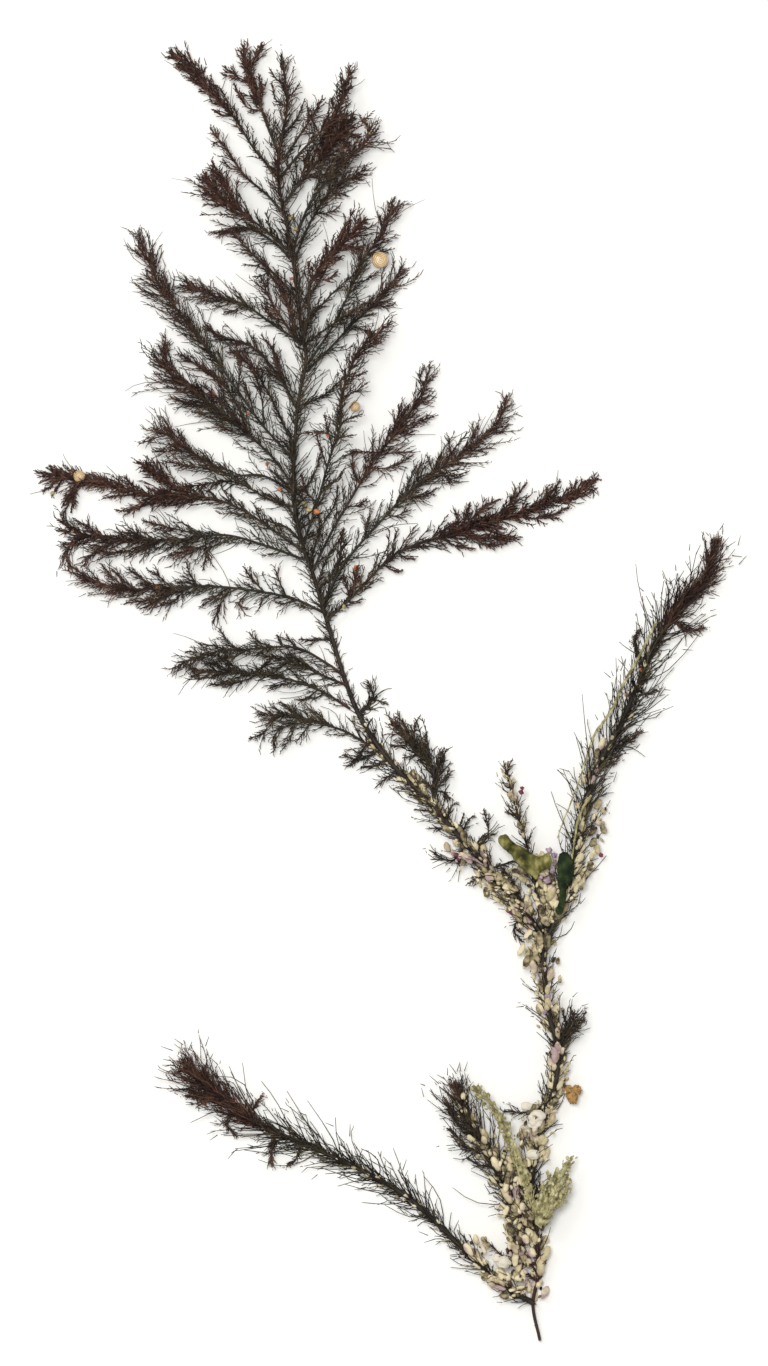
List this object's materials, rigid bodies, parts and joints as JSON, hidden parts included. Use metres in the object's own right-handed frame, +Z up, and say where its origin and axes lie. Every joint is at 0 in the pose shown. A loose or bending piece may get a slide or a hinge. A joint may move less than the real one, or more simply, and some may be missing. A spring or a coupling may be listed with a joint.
{
  "type": "dried branching seaweed",
  "caption": "Dried branching seaweed lying flat, with feathery spiny fronds, a limy crusted lower axis, green blades and tiny shells.",
  "frame": {"origin": "centre of the bounding box in X and Y, on the surface that the seaweed lies on", "axes": "+X to the right, +Y from the root tip towards the leader, +Z up off the surface"},
  "size_m": [0.1492, 0.2804, 0.0081],
  "materials": {
    "alga_tip": "dried red-brown alga, dull with a faint sheen",
    "alga_body": "dried blackish olive-grey alga, dull",
    "alga_axis": "dried near-black axis, dull",
    "crust": "chalky cream and mauve limy crust, matt",
    "olive_blade": "thin olive green dried blade, satin",
    "green_blade": "thin dark green dried blade, satin",
    "thread": "soft yellow-green threads, matt",
    "shell": "thin amber shell, smooth",
    "sponge": "brown porous sponge, matt"
  },
  "bodies": {
    "root": {"amber_shell_left": "shell", "amber_shell_middle": "shell", "amber_shell_right": "shell", "crust_arm_high": "crust", "crust_arm_low": "crust", "crust_base": "crust", "crust_fork": "crust", "crust_frond_base": "crust", "crust_lower": "crust", "crust_middle": "crust", "crust_neck": "crust", "crust_stub": "crust", "crust_twig": "crust", "crust_upper": "crust", "dark_green_blade": "green_blade", "left_frond_arch": "alga_body", "left_frond_broad": "alga_body", "left_frond_clump": "alga_tip", "left_frond_forked": "alga_body", "left_frond_inner": "alga_tip", "left_frond_long": "alga_body", "left_frond_longest": "alga_tip", "left_frond_low": "alga_body", "left_frond_short": "alga_body", "left_frond_slim": "alga_body", "left_frond_thin": "alga_tip", "left_frond_top": "alga_tip", "left_frond_under_clump": "alga_body", "left_frond_wide": "alga_body", "lower_frond": "alga_tip", "lower_left_frond_lower": "alga_body", "lower_left_frond_middle": "alga_body", "lower_left_frond_upper": "alga_body", "lowest_left_frond": "alga_body", "main_axis": "alga_axis", "olive_blade": "olive_blade", "pale_thread": "thread", "right_arm": "alga_body", "right_frond_amber": "alga_body", "right_frond_clump": "alga_tip", "right_frond_dense": "alga_tip", "right_frond_forked": "alga_body", "right_frond_inner": "alga_body", "right_frond_knobbly": "alga_tip", "right_frond_longest": "alga_tip", "right_frond_outer": "alga_body", "right_frond_spread": "alga_body", "right_frond_top": "alga_tip", "right_frond_top_small": "alga_tip", "right_frond_upright": "alga_body", "side_frond": "alga_body", "sponge_lump": "sponge", "stub_frond": "alga_body", "thin_twig": "alga_axis", "top_frond": "alga_tip", "yellow_green_mass": "thread"}
  },
  "joints": []
}
